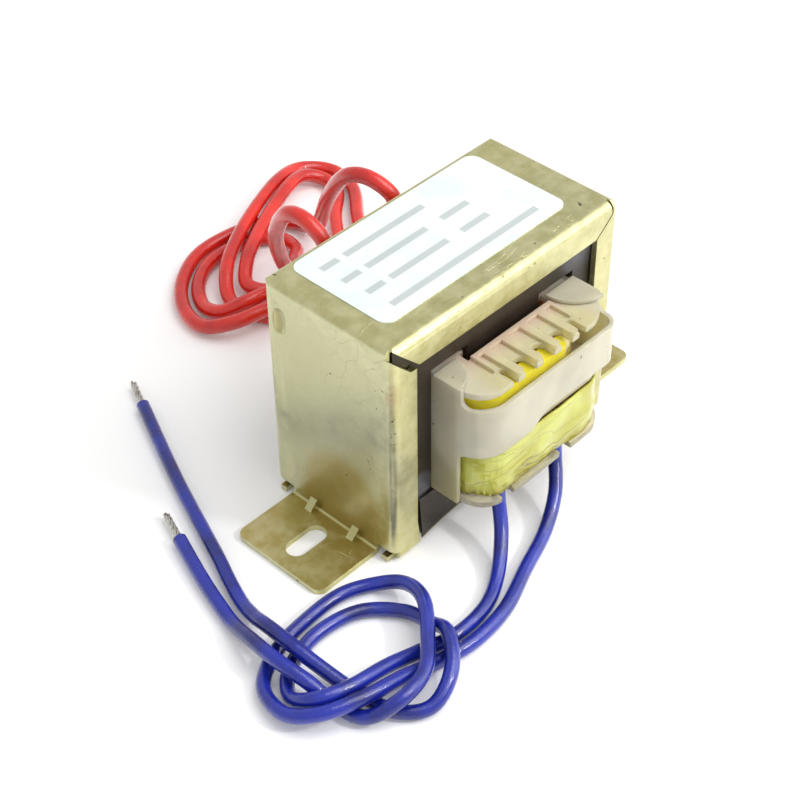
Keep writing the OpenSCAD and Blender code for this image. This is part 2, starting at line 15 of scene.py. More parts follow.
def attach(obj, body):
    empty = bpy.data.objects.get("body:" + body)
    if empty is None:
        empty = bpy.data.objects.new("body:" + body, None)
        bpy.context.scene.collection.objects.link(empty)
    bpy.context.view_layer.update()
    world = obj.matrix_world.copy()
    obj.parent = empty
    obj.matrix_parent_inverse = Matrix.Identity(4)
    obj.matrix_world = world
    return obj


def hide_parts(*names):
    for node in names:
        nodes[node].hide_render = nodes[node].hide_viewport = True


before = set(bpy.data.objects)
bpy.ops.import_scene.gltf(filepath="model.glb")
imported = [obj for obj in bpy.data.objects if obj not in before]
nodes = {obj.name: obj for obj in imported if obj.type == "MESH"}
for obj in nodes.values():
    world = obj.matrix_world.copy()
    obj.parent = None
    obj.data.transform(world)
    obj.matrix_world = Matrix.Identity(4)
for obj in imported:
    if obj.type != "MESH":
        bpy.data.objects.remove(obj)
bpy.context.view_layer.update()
MM = 0.001
random.seed(7)
print("nodes:", len(nodes))


def fresh():
    """Out of edit mode, with nothing selected."""
    if bpy.context.object and bpy.context.object.mode != "OBJECT":
        bpy.ops.object.mode_set(mode="OBJECT")
    bpy.ops.object.select_all(action="DESELECT")


def pick(*objs):
    """Selects these objects and makes the last one active."""
    fresh()
    for o in objs:
        o.select_set(True)
    bpy.context.view_layer.objects.active = objs[-1]


def edit_mode(select):
    """Into edit mode, with everything selected or nothing."""
    bpy.ops.object.mode_set(mode="EDIT")
    bpy.ops.mesh.select_all(action=select)


def block(x, y, z):
    """A box between two values on each axis, with its transforms applied."""
    fresh()
    spans = (x, y, z)
    bpy.ops.mesh.primitive_cube_add(size=1, location=[sum(span) / 2 * MM for span in spans])
    o = bpy.context.object
    o.scale = [(high - low) * MM for low, high in spans]
    bpy.ops.object.transform_apply(location=True, rotation=True, scale=True)
    return o


def apply_modifiers(o):
    """Applies the whole modifier stack, top to bottom."""
    pick(o)
    for m in list(o.modifiers):
        bpy.ops.object.modifier_apply(modifier=m.name)


def settle(o, name):
    """Applies the transforms, names the piece and lets it ride on the part."""
    pick(o)
    bpy.ops.object.transform_apply(location=True, rotation=True, scale=True)
    o.name = name
    o.data.name = name
    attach(o, "root")


# %% [markdown]
# ## Camera
# The picture was taken with a short telephoto lens from the front left, well above the part.
# Distance and lens belong together: they set how fast the far edges shrink.

# %% Camera
CAMERA_AT = Vector((-156.9, -142.1, 200.4))
CAMERA_TO = Vector((-13.09, -2.85, 20.0))
CAMERA_ROLL = math.radians(-0.79)
LENS, SENSOR = 79.4, 36
CLIP = (0.01, 10)  # metres

bpy.ops.object.camera_add()
camera = bpy.context.object
camera.name = "camera"
look = (CAMERA_TO - CAMERA_AT).normalized()
side = look.cross(Vector((0, 0, 1))).normalized()
rise = side.cross(look)
right = math.cos(CAMERA_ROLL) * side + math.sin(CAMERA_ROLL) * rise
turn = Matrix((right, right.cross(look), -look)).transposed()
camera.matrix_world = Matrix.Translation(CAMERA_AT * MM) @ turn.to_4x4()
camera.data.lens = LENS
camera.data.sensor_width = SENSOR
camera.data.clip_start, camera.data.clip_end = CLIP
bpy.context.scene.camera = camera
print("camera at", tuple(round(v, 3) for v in camera.location))

# %% [markdown]
# ## Leads
# Each lead follows the points that the CAD swept its tube along, smoothed between them.
# It leaves its slot, drops to the bench and lies there in the loose turns of a wire
# that was hanked in the box: where two stretches cross, one humps gently over the other.

# %% Leads
BLUE_D, RED_D = 2.3, 2.7
BLUE_1 = [
    (-9.5, -20.05, 12.2), (-9.5, -20.05, 8.45), (-12, -23, 4.3), (-17, -26.7, 1.5),
    (-23, -29.4, 1.2), (-30, -29.8, 1.2), (-36.5, -28.1, 1.5), (-42, -27.4, 2.8), (-49, -26.9, 4),
    (-53.8, -24.9, 4), (-54.6, -20.6, 1.5), (-51, -16.7, 1.2), (-44, -14.8, 1.2),
    (-36.5, -16.2, 1.2), (-31.8, -21, 1.2), (-31.3, -26, 2.2), (-32.2, -30.4, 4.2),
    (-36.6, -35.1, 3.4), (-42, -36.4, 1.5), (-46, -33.2, 1.2), (-47.4, -27, 1.2),
    (-48.6, -20.5, 2.8), (-49.2, -15.5, 4), (-48.9, -10, 3.6), (-48.3, -6.4, 2.4),
    (-47.2, -2.4, 1.4), (-45.3, 2.6, 1.2), (-43, 8, 1.2), (-36.5, 24.5, 1.2), (-28.5, 42.5, 1.2)
]
BLUE_2 = [
    (4, -20.05, 12.2), (4, -20.05, 8.45), (0.5, -23.3, 4.3), (-5, -26, 1.6), (-13, -28.8, 1.2),
    (-21, -31.8, 1.2), (-29, -32.6, 1.2), (-36, -31.3, 1.3), (-42, -30.5, 2.8), (-49, -29.6, 3.9),
    (-55, -27.1, 3.7), (-57.6, -22.5, 2.2), (-55.9, -16.3, 1.2), (-50, -12.8, 1.2),
    (-43, -11.7, 1.2), (-36, -11.9, 1.2), (-31, -14.3, 1.4), (-28.7, -18.5, 3),
    (-30.3, -23.8, 4.7), (-34.9, -28.9, 4.4), (-39.6, -32.7, 4.1), (-45.5, -33.8, 4.1),
    (-49.9, -31.2, 1.8), (-51, -26, 1.2), (-52, -21.5, 3.3), (-52.8, -16.5, 4.3),
    (-52.2, -10.5, 3.4), (-50.6, -3.5, 1.2), (-48, 5.5, 1.2), (-44.8, 14.5, 1.2)
]
RED_1 = [
    (9.8, 19, 28.825), (9.8, 19, 32), (9.5, 20.5, 35.4), (8.4, 24.6, 37.2), (7.8, 29, 35.6),
    (9.4, 34.6, 28.5), (14.6, 43, 16), (20, 50.5, 7.2), (24.6, 57, 2.4), (22.5, 63.6, 1.35),
    (15.5, 66.6, 1.35), (6, 66.9, 1.35), (-1.8, 62.9, 1.35), (-6.8, 56.8, 1.35),
    (-8.2, 50.2, 1.8), (-4.9, 45.1, 3.6), (1.6, 42.7, 4.4), (9, 41, 3), (18, 40.8, 1.35),
    (27, 45.2, 1.35), (34.4, 53.8, 1.35), (40.2, 60.8, 1.35), (41.6, 68, 1.35), (37, 72.2, 2.2),
    (30, 70.8, 3.7), (20.2, 66.8, 4.1), (12, 62.6, 4.1), (5, 58, 3.7), (0.6, 53, 1.6),
    (0.2, 47.4, 1.35), (3.6, 41.6, 1.35), (8.4, 37.2, 1.35)
]
RED_2 = [
    (-6, 19, 28.825), (-6, 19, 32), (-6.2, 20.5, 35.4), (-6.4, 24.6, 37.2), (-6, 29, 35.2),
    (-3.6, 34.2, 27), (2.5, 39.8, 15.4), (8, 44.4, 8.8), (13.5, 49.2, 4.9), (18.6, 54.2, 1.9),
    (19, 59.6, 1.35), (13.4, 63.2, 1.35), (5.4, 63.3, 1.35), (-0.6, 59.8, 1.35), (-4, 54.7, 1.35),
    (-3.8, 49.9, 2.6), (-0.2, 47.1, 4.3), (5, 46.2, 4), (11.5, 44.6, 1.5), (19, 45, 1.35),
    (25.2, 49.8, 1.35), (31.4, 56.8, 1.35), (37, 61.8, 1.35), (38.3, 66.4, 1.6), (35, 69, 3),
    (29.4, 67.4, 4.1), (21.4, 63.9, 4.1), (13.6, 59.7, 4.1), (8.2, 56.2, 3.7), (4.9, 52.6, 2.2),
    (7.6, 49, 1.35), (13.4, 49.2, 1.35)
]
LEADS = [("blue_lead_1", BLUE_1, BLUE_D), ("blue_lead_2", BLUE_2, BLUE_D),
    ("red_lead_1", RED_1, RED_D), ("red_lead_2", RED_2, RED_D)]
STEPS = 8  # pieces of line between two points of a route
ROUNDING = 5  # bevel resolution of the round section


def between(a, b, c, d, t):
    """A point of the smooth line from b to c, with a and d as the neighbours (Catmull-Rom)."""
    return 0.5 * (2 * b + (c - a) * t + (2 * a - 5 * b + 4 * c - d) * t * t
        + (3 * b - a - 3 * c + d) * t ** 3)


def smooth_route(points, radius):
    """A smooth line through the points that never dips into the bench."""
    p = [Vector(v) for v in points]
    p = [p[0], *p, p[-1]]
    line = []
    for stretch in zip(p, p[1:], p[2:], p[3:]):
        for k in range(STEPS):
            v = between(*stretch, k / STEPS)
            v.z = max(v.z, radius)
            line.append(v)
    return line + [p[-1]]


def route_length(line):
    return sum((b - a).length for a, b in zip(line, line[1:]))


def pvc_slot(name):
    return "red_pvc" if name.startswith("red") else "blue_pvc"


def lay_lead(name, line, diameter):
    """One open spline with a round bevel, in millimetres because its points' radius is MM."""
    fresh()
    bpy.ops.curve.primitive_nurbs_path_add()
    o = bpy.context.object
    data = o.data
    data.splines.clear()
    spline = data.splines.new("POLY")
    spline.points.add(len(line) - 1)
    for point, v in zip(spline.points, line):
        point.co = (*(v * MM), 1)
        point.radius = MM
    spline.use_smooth = True
    data.bevel_depth = diameter / 2
    data.bevel_resolution = ROUNDING
    data.use_fill_caps = True
    settle(o, f"{name}_lay")
    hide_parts(name)
    return o


leads, lines = {}, {}
for name, route, diameter in LEADS:
    lines[name] = smooth_route(route, diameter / 2)
    leads[name] = lay_lead(name, lines[name], diameter)
    print(name, "is", round(route_length(lines[name])), "mm long")

# %% [markdown]
# ## Tinned tips
# The bared end of each lead is a bundle of fine tinned strands, twisted by hand.
# A ring of thin rods round a middle one, twisted along its length, is just how it is made.

# %% Tinned tips
TIP_LEN = 6.0
UNEVEN = (-0.5, 0.4)  # how much shorter or longer a strand is cut
STRAND_D = 0.42
STRAND_SIDES = 10
STRAND_CUTS = 12  # so that the rod can twist
RING_R = 0.38
RING_COUNT = 6
TWIST = math.radians(300)


def strand(x, y, length):
    """One straight rod, cut up along its length."""
    fresh()
    bpy.ops.mesh.primitive_cylinder_add(vertices=STRAND_SIDES, radius=STRAND_D / 2 * MM,
        depth=length * MM, location=(x * MM, y * MM, length / 2 * MM))
    edit_mode("SELECT")
    bpy.ops.mesh.subdivide(number_cuts=STRAND_CUTS, quadcorner="STRAIGHT_CUT")
    bpy.ops.object.mode_set(mode="OBJECT")
    return bpy.context.object


def strand_tip(name, line):
    """A twisted bundle that goes on from the end of a lead."""
    angles = [math.tau * k / RING_COUNT for k in range(RING_COUNT)]
    places = [(RING_R * math.cos(a), RING_R * math.sin(a)) for a in angles] + [(0, 0)]
    pick(*[strand(x, y, TIP_LEN + random.uniform(*UNEVEN)) for x, y in places])
    bpy.ops.object.join()
    tip = bpy.context.object
    bpy.ops.object.transform_apply(location=True, rotation=True, scale=True)
    twist = tip.modifiers.new("twist", "SIMPLE_DEFORM")
    twist.deform_method = "TWIST"
    twist.deform_axis = "Z"
    twist.angle = TWIST
    apply_modifiers(tip)
    bpy.ops.object.shade_smooth()
    tip.rotation_euler = (line[-1] - line[-3]).to_track_quat("Z", "Y").to_euler()
    tip.location = line[-1] * MM
    settle(tip, f"{name}_strands")
    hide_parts(name)
    return tip


tips = {name: strand_tip(name.replace("lead", "tip"), line) for name, line in lines.items()}
print("tips:", len(tips))

# %% [markdown]
# ## Tape over the lower winding
# This tape was wound by hand over the joints of the leads, so it puckers: the outer turn has
# long creases that run round the winding and its lower edge is crumpled. It is a box with
# rounded corners, opened at both ends, pushed about by two noises and then thickened.

# %% Lower tape
WRAP_X, WRAP_Y, WRAP_R = 14.6, 21.8, 5.2
WRAP_Z = (10.7, 19.7)
WRAP_T = 0.35
CORNER_CUTS = 8
FINE_CUTS = (1, 3, 1)
CREASE = (4.5, 0.7)  # size and strength of the noise
CRUMPLE = (1.3, 0.9)
CRUMPLE_FADE = 2.2  # the crumple is gone at 1/2.2 of the height
REST_LEVEL = 0.75  # grey of the noise that stays where it is: most of it pushes inwards
FLAT_ENDS = 0.9  # a face that looks up or down at least this much is an end

wrap = block((-WRAP_X, WRAP_X), (-WRAP_Y, WRAP_Y), WRAP_Z)
bpy.ops.object.mode_set(mode="EDIT")
bpy.ops.mesh.select_mode(type="EDGE")
bpy.ops.mesh.select_all(action="DESELECT")
bpy.ops.object.mode_set(mode="OBJECT")
for edge in wrap.data.edges:
    start, end = (wrap.data.vertices[i].co for i in edge.vertices)
    edge.select = abs(start.z - end.z) > MM
bpy.ops.object.mode_set(mode="EDIT")
bpy.ops.mesh.bevel(offset=WRAP_R * MM, segments=CORNER_CUTS)
bpy.ops.mesh.select_mode(type="FACE")
bpy.ops.mesh.select_all(action="DESELECT")
bpy.ops.object.mode_set(mode="OBJECT")
for face in wrap.data.polygons:
    face.select = abs(face.normal.z) > FLAT_ENDS
bpy.ops.object.mode_set(mode="EDIT")
bpy.ops.mesh.delete(type="FACE")
bpy.ops.mesh.select_all(action="SELECT")
for cuts in FINE_CUTS:
    bpy.ops.mesh.subdivide(number_cuts=cuts)
bpy.ops.object.mode_set(mode="OBJECT")


def height_in(v, span):
    """How high a vertex is, from 0 to 1 over a span."""
    return (v.co.z / MM - span[0]) / (span[1] - span[0])


def pucker(o, name, size, strength):
    """A displace modifier driven by a cloud noise."""
    cloud = bpy.data.textures.new(name, "CLOUDS")
    cloud.noise_scale = size * MM
    m = o.modifiers.new(name, "DISPLACE")
    m.texture = cloud
    m.texture_coords = "LOCAL"
    m.strength = strength * MM
    m.mid_level = REST_LEVEL
    return m


low_edge = wrap.vertex_groups.new(name="low_edge")
for v in wrap.data.vertices:
    low_edge.add([v.index], max(0.0, 1 - CRUMPLE_FADE * height_in(v, WRAP_Z)), "REPLACE")
pucker(wrap, "creases", *CREASE)
pucker(wrap, "crumple", *CRUMPLE).vertex_group = "low_edge"
wall = wrap.modifiers.new("thickness", "SOLIDIFY")
wall.thickness = WRAP_T * MM
wall.offset = -1
apply_modifiers(wrap)
bpy.ops.object.shade_smooth()
settle(wrap, "wrinkled_tape")
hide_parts("secondary_tape")
print("lower tape:", len(wrap.data.polygons), "faces")

# %% [markdown]
# ## The bent outer sheet
# The outermost sheet at the foot of the core was caught when the bracket was pressed on, and its
# free corner stands a little proud. A thin subdivided plate is pushed out at that corner only.

# %% Bent sheet
SHEET_X = (-19.0, 4.0)
SHEET_Z = (1.35, 9.2)
SHEET_T = 0.25
SHEET_CUTS = 15
CORE_FACE = -12.0
OFF_FACE = 0.01  # clearance to the sheet behind it
PROUD = 0.8
BEND_X = -8.0  # the bend starts here and grows towards the free side
UPPER_SHARE = 0.25  # share of the bend that is left at the upper edge

sheet_back = CORE_FACE - OFF_FACE
sheet = block(SHEET_X, (sheet_back - SHEET_T, sheet_back), SHEET_Z)
edit_mode("SELECT")
bpy.ops.mesh.subdivide(number_cuts=SHEET_CUTS)
bpy.ops.object.mode_set(mode="OBJECT")
corner = sheet.vertex_groups.new(name="corner")
for v in sheet.data.vertices:
    out = min(1.0, max(0.0, (BEND_X - v.co.x / MM) / (BEND_X - SHEET_X[0])))
    down = 1 - height_in(v, SHEET_Z)
    corner.add([v.index], out ** 2 * (UPPER_SHARE + (1 - UPPER_SHARE) * down), "REPLACE")
push = sheet.modifiers.new("push", "DISPLACE")
push.direction = "Y"
push.strength = -PROUD * MM
push.mid_level = 0
push.vertex_group = "corner"
apply_modifiers(sheet)
settle(sheet, "bent_sheet")
print("bent sheet:", len(sheet.data.polygons), "faces")

# %% [markdown]
# ## Finishes
# Every material is built from noise and simple masks in the part's own coordinates, so nothing
# slides when the camera moves and nothing depends on an image. A mask is 0 to 1, and a tint lays
# a colour over what is there where its mask is white. Sizes and places are in millimetres.

# %% Shader helpers


class Finish:
    """A small builder for one Principled material."""

    def __init__(self, name, settings):
        self.mat = bpy.data.materials.new(name)
        self.mat.use_nodes = True
        self.tree = self.mat.node_tree
        self.bsdf = self.tree.nodes["Principled BSDF"]
        self.set(settings)
        self.where = self.new("ShaderNodeTexCoord").outputs["Object"]

    def new(self, kind, **props):
        node = self.tree.nodes.new(kind)
        for key, value in props.items():
            setattr(node, key, value)
        return node

    def link(self, a, b):
        self.tree.links.new(a, b)

    def put(self, socket, value):
        """Sets a socket to a value, or links an output to it."""
        if isinstance(value, (int, float, tuple)):
            socket.default_value = value
        else:
            self.link(value, socket)

    def set(self, settings):
        """Sets or links inputs of the material by name."""
        for name, value in settings.items():
            self.put(self.bsdf.inputs[name], value)

    def axis(self, name):
        """The coordinate along one axis, in millimetres."""
        n = self.new("ShaderNodeSeparateXYZ")
        self.link(self.where, n.inputs[0])
        return self.math("DIVIDE", n.outputs[name], MM)

    def away(self, name, middle=0.0):
        """The distance from a middle along one axis, in millimetres."""
        return self.math("ABSOLUTE", self.math("SUBTRACT", self.axis(name), middle))

    def stretch(self, *scale):
        """Coordinates scaled along the axes: under 1 makes a noise longer that way."""
        m = self.new("ShaderNodeMapping")
        m.inputs["Scale"].default_value = scale
        self.link(self.where, m.inputs["Vector"])
        return m.outputs[0]

    def noise(self, size, detail=3, rough=0.5, where=None, warp=0.0):
        n = self.new("ShaderNodeTexNoise")
        n.inputs["Scale"].default_value = 1 / (size * MM)
        n.inputs["Detail"].default_value = detail
        n.inputs["Roughness"].default_value = rough
        n.inputs["Distortion"].default_value = warp
        self.link(where or self.where, n.inputs["Vector"])
        return n.outputs["Fac"]

    def band(self, fac, low, high, to=(0.0, 1.0)):
        """fac from low..high mapped smoothly on to 0..1 or another range."""
        n = self.new("ShaderNodeMapRange", interpolation_type="SMOOTHSTEP")
        for name, value in zip(("From Min", "From Max", "To Min", "To Max"), (low, high, *to)):
            n.inputs[name].default_value = value
        self.link(fac, n.inputs["Value"])
        return n.outputs["Result"]

    def math(self, op, a, b=None):
        n = self.new("ShaderNodeMath", operation=op)
        self.put(n.inputs[0], a)
        if b is not None:
            self.put(n.inputs[1], b)
        return n.outputs[0]

    def chain(self, op, values):
        total = values[0]
        for value in values[1:]:
            total = self.math(op, total, value)
        return total

    def times(self, *masks):
        """Where all the masks are, times any plain share."""
        return self.chain("MULTIPLY", masks)

    def either(self, *masks):
        """Where any of the masks is."""
        return self.chain("MAXIMUM", masks)

    def add(self, *heights):
        return self.chain("ADD", heights)

    def mix(self, fac, a, b):
        """a where fac is 0, b where it is 1: outputs, or colours of three values."""
        n = self.new("ShaderNodeMix", data_type="RGBA")
        factor, first, second = n.inputs[0], n.inputs[6], n.inputs[7]
        self.put(factor, fac)
        for socket, value in ((first, a), (second, b)):
            self.put(socket, (*value, 1) if isinstance(value, tuple) else value)
        return n.outputs[2]

    def tint(self, base, color, *masks):
        """Lays a colour over the base, where all the masks are."""
        return self.mix(self.times(*masks), base, color)

    def bump(self, height, depth, strength, after=None):
        """Relief of this depth, for the body and its coat, on top of another normal if given."""
        n = self.new("ShaderNodeBump")
        n.inputs["Distance"].default_value = depth * MM
        n.inputs["Strength"].default_value = strength
        self.link(height, n.inputs["Height"])
        if after:
            self.link(after, n.inputs["Normal"])
        self.set({"Normal": n.outputs[0], "Coat Normal": n.outputs[0]})

    def facing(self, axis, low, high):
        """White where the surface faces along this axis, either way."""
        n = self.new("ShaderNodeSeparateXYZ")
        self.link(self.new("ShaderNodeTexCoord").outputs["Normal"], n.inputs[0])
        return self.band(self.math("ABSOLUTE", n.outputs[axis]), low, high)

    def vector(self, op, a, b=None):
        n = self.new("ShaderNodeVectorMath", operation=op)
        self.link(a, n.inputs[0])
        if b:
            n.inputs[1].default_value = [v * MM for v in b]
        return n.outputs["Value" if op == "LENGTH" else 0]

    def spot(self, middle, reach):
        """A soft ellipsoid round a place on the part."""
        shifted = self.vector("SUBTRACT", self.where, middle)
        return self.band(self.vector("LENGTH", self.vector("DIVIDE", shifted, reach)), 1.0, 0.7)

    def ridge(self, fac, width):
        """A thin line along the middle level of a noise, as a scratch or a crease."""
        off = self.math("ABSOLUTE", self.math("SUBTRACT", fac, 0.5))
        return self.band(off, width, width * 0.3)

    def convex(self, low, high):
        """White on convex edges."""
        return self.band(self.new("ShaderNodeNewGeometry").outputs["Pointiness"], low, high)

    def soft_edge(self, radius):
        """A normal that rounds sharp edges in the shading."""
        n = self.new("ShaderNodeBevel", samples=6)
        n.inputs["Radius"].default_value = radius * MM
        return n.outputs[0]


def dress(finish, *names):
    """Gives CAD nodes or pieces this material."""
    for name in names:
        o = nodes[name] if isinstance(name, str) else name
        o.data.materials.clear()
        o.data.materials.append(finish.mat)


def srgb(r, g, b):
    """An sRGB colour, 0 to 255, as the linear values that a shader wants."""
    return tuple(((c / 255 + 0.055) / 1.055) ** 2.4 if c > 10 else c / 255 / 12.92
        for c in (r, g, b))


def shade(color, share):
    return tuple(share * c for c in color)


# %% [markdown]
# ## Bracket
# The bracket is cold-rolled steel, zinc plated and yellow passivated. The film is thin,
# so its colour drifts between gold, olive and a cool grey. Its flat ends still have the
# shine of the rolled sheet and mirror the feet, and a reflection of the foot is painted low on
# the left end as well; the top is duller. The bends are worn bright and carry a painted
# highlight, and the die leaves short dark nicks where the sheet was dragged round them.

# %% Bracket finish
GOLD, OLIVE_GOLD, DEEP_GOLD = srgb(200, 194, 135), srgb(190, 187, 137), srgb(178, 170, 113)
END_GREY, FOOT_AMBER, PAINTED_FOOT_REFLECTION = srgb(196, 196, 158), srgb(190, 170, 100), srgb(176, 154, 88)
GRAIN_DARK, WORN_EDGE_AND_HIGHLIGHT = srgb(120, 116, 84), srgb(236, 232, 190)
RUST, DIMPLE_SHADE_BROWN, GRIME = srgb(176, 138, 100), srgb(146, 128, 78), srgb(66, 60, 44)
FLAT = (0.85, 0.97)  # how squarely a surface has to face along an axis
FOOT_LEVEL = (3, 2)
# Places on the bracket: the middle of each, and how far it reaches along X, Y and Z
FOOT_REFLECTION_PLACE = (-25.2, -2.0, 3.0), (3, 10.5, 15)
STAIN = (-24.6, -12.6, 33.5), (1.6, 1.2, 3.6)
DIMPLE = (-24.9, 10.4, 35.4), (1.2, 1.2, 2.7)
FRONT_BEND = (-1.0, -13.0, 41.8), (26, 0.9, 0.9)
LEFT_BEND = (-25.0, -13.0, 24.0), (0.9, 0.9, 20)
HIGH_SMUDGE = (-25.2, -10.8, 33.5), (1, 1.6, 2.2)
LOW_SMUDGE = (-25.2, -8.3, 19.0), (1, 1.0, 2.6)
GOUGES = (14.6, -11.0, 42.3), (3.6, 1.3, 2)
HAIRLINES = (1.5, -10.6, 42.3), (4.6, 2.2, 2)
FOOT_ARCS = (-34.0, -6.5, 1.0), (5.5, 2.6, 1.5)


def bracket_dirt(f):
    """Nicks along two bends, smudges on the end, and specks all over."""
    dragged = f.band(f.noise(0.8, 2, 0.7, where=f.stretch(0.5, 1, 1)), 0.62, 0.68)
    bends = f.either(f.spot(*FRONT_BEND), f.spot(*LEFT_BEND))
    nicks = f.times(dragged, bends, f.band(f.noise(7, 1), 0.45, 0.6))
    smudges = f.times(f.band(f.noise(0.6, 2, 0.7), 0.6, 0.66),
        f.either(f.spot(*HIGH_SMUDGE), f.spot(*LOW_SMUDGE)))
    return f.either(nicks, smudges, f.band(f.noise(1.2, 1, 0.4), 0.775, 0.8))


def bracket_cuts(f):
    """Three gouges and a few hairlines on the top, arcs on a foot and fine scratches all over."""
    gouges = f.ridge(f.noise(1.9, 1, where=f.stretch(1, 0.6, 1), warp=1.2), 0.03)
    hairlines = f.ridge(f.noise(2.4, 0, where=f.stretch(0.22, 1.6, 1)), 0.012)
    arcs = f.ridge(f.noise(5.5, 0, where=f.stretch(1.2, 0.3, 1)), 0.008)
    fine = f.ridge(f.noise(6, 0, where=f.stretch(0.5, 1.4, 1.2)), 0.004)
    return f.either(f.times(f.spot(*GOUGES), gouges), f.times(f.spot(*HAIRLINES), hairlines),
        f.times(f.spot(*FOOT_ARCS), arcs), f.times(fine, f.band(f.noise(13, 1), 0.5, 0.6), 0.55))


def bracket_finish():
    f = Finish("passivated_steel", {"Metallic": 0.94})
    small = f.noise(2.6, 4, 0.6)
    ends, tops = f.facing("X", *FLAT), f.facing("Z", *FLAT)
    grain = f.noise(0.5, 2, 0.6, where=f.stretch(0.06, 1, 1))
    dirt = bracket_dirt(f)
    film = f.mix(f.band(f.noise(19, 2, 0.5, warp=0.5), 0.3, 0.7), GOLD, OLIVE_GOLD)
    film = f.tint(film, DEEP_GOLD, f.band(small, 0.3, 0.9), 0.3)
    film = f.tint(film, END_GREY, ends, 0.8)
    # A reflection of the foot, painted low on the left end plate.
    film = f.tint(film, PAINTED_FOOT_REFLECTION, f.spot(*FOOT_REFLECTION_PLACE), ends, 0.6)
    film = f.tint(film, FOOT_AMBER, f.band(f.axis("Z"), *FOOT_LEVEL), tops, 0.9)
    film = f.tint(film, GRAIN_DARK, f.band(grain, 0.3, 0.8), 0.1)
    # Bends worn bright, with a painted highlight laid along them as well.
    film = f.tint(film, WORN_EDGE_AND_HIGHLIGHT, f.convex(0.52, 0.57), f.band(small, 0.3, 0.7), 0.45)
    film = f.tint(film, RUST, f.spot(*STAIN), f.band(small, 0.35, 0.6), 0.5)
    # Painted shade inside the pressed dimple on the left end.
    film = f.tint(film, DIMPLE_SHADE_BROWN, f.spot(*DIMPLE), ends, 0.6)
    film = f.tint(film, GRIME, dirt, 0.8)
    dull = f.math("SUBTRACT", f.band(small, 0.3, 0.75, (0.3, 0.42)), f.times(ends, 0.02))
    f.set({"Base Color": film, "Roughness": dull})
    relief = f.add(f.times(grain, 0.1), f.times(f.noise(14, 1), 1.6),
        f.times(bracket_cuts(f), -1.8), f.times(dirt, -0.3))
    f.bump(relief, 0.06, 0.6, after=f.soft_edge(0.12))
    return f


dress(bracket_finish(), "bracket")
print("bracket dressed")

# %% [markdown]
# ## Core
# The core is a stack of thin silicon-steel sheets. Seen on their cut edges they make fine
# dark lines; seen flat, the outer sheet is a brown-black oxide with a greasy sheen, and a
# blue-grey sheen is painted into its colour high towards the right end and low on the front
# by the bent corner. The shears leave the bent sheet's lower edge bright.

# %% Core finish
OXIDE, OXIDE_WORN, OXIDE_DUST = srgb(50, 42, 34), srgb(66, 57, 48), srgb(92, 80, 62)
PAINTED_BLUE_SHEEN, SHORN = srgb(104, 104, 112), srgb(206, 198, 168)
CORE_SHEET_T = 0.5
GROOVE_W = 0.05
UPPER_SHEEN = {"Z": (31, 37), "X": (11, 17)}
LOW_SHEEN = (-18.6, -12.0, 11.5), (3.2, 1.0, 3.2)
SHORN_UP, SHORN_OUT = (0.35, 0.15), (0.03, 0.1)  # off the lower edge and off the core's face


def core_finish():
    f = Finish("silicon_steel", {"Metallic": 0.5})
    fine = f.noise(0.7, 3, 0.7)
    upper = f.times(*[f.band(f.axis(name), *span) for name, span in UPPER_SHEEN.items()])
    lower_edge = f.band(f.axis("Z"), *[SHEET_Z[0] + up for up in SHORN_UP])
    bent_out = f.band(f.axis("Y"), *[CORE_FACE - out for out in SHORN_OUT])
    body = f.mix(f.band(f.noise(11, 2, 0.5, warp=0.8), 0.35, 0.65), OXIDE, OXIDE_WORN)
    # Painted sheen: blue-grey high towards the right end and low on the front left.
    body = f.tint(body, PAINTED_BLUE_SHEEN, f.either(upper, f.spot(*LOW_SHEEN)), 0.75)
    body = f.tint(body, OXIDE_DUST, f.band(fine, 0.45, 0.8), 0.25)
    body = f.tint(body, SHORN, lower_edge, bent_out, 0.8)
    f.set({"Base Color": body, "Roughness": f.band(fine, 0.3, 0.8, (0.34, 0.55))})
    to_joint = f.math("PINGPONG", f.axis("Y"), CORE_SHEET_T / 2)
    sheets = f.either(f.band(to_joint, 0, GROOVE_W), f.facing("Y", 0.6, 0.9))
    f.bump(f.add(sheets, f.times(fine, 0.25)), 0.08, 0.6)
    return f


dress(core_finish(), "e_laminations", "i_laminations", sheet)
print("core dressed")

# %% [markdown]
# ## Bobbin and shrouds
# Both are moulded in natural nylon: milky, a little warm, and thin enough to let the yellow
# tape and the copper glow through. Light goes in and comes out somewhere else, so these are
# the two finishes with subsurface scattering and some transmission.

# %% Nylon finishes
NYLON_CLOUD, NYLON_SPECK = srgb(236, 231, 212), srgb(74, 64, 52)
BOBBIN, SHROUD = srgb(229, 222, 198), srgb(224, 218, 195)
COPPER_GLOW, JOINT_GLOW, TAPE_GLOW = srgb(228, 188, 160), srgb(238, 214, 190), srgb(226, 216, 150)
SHROUD_TAPE, SHROUD_CORE = srgb(210, 203, 140), srgb(206, 192, 160)
# Where each glow starts and where it is full, along one axis
COPPER_Y, COPPER_X = (18, 13), (14, 8)
BELOW_JOINT, ABOVE_JOINT = (15, 19), (22, 21)
TAPE_Y, TAPE_X = (14, 17), (13, 10)
SHROUD_TAPE_Z, SHROUD_CORE_Y = (23, 12), (18.5, 12)
CLEAR_Z, CLEAR_Y = (12, 10.4), (16, 19)


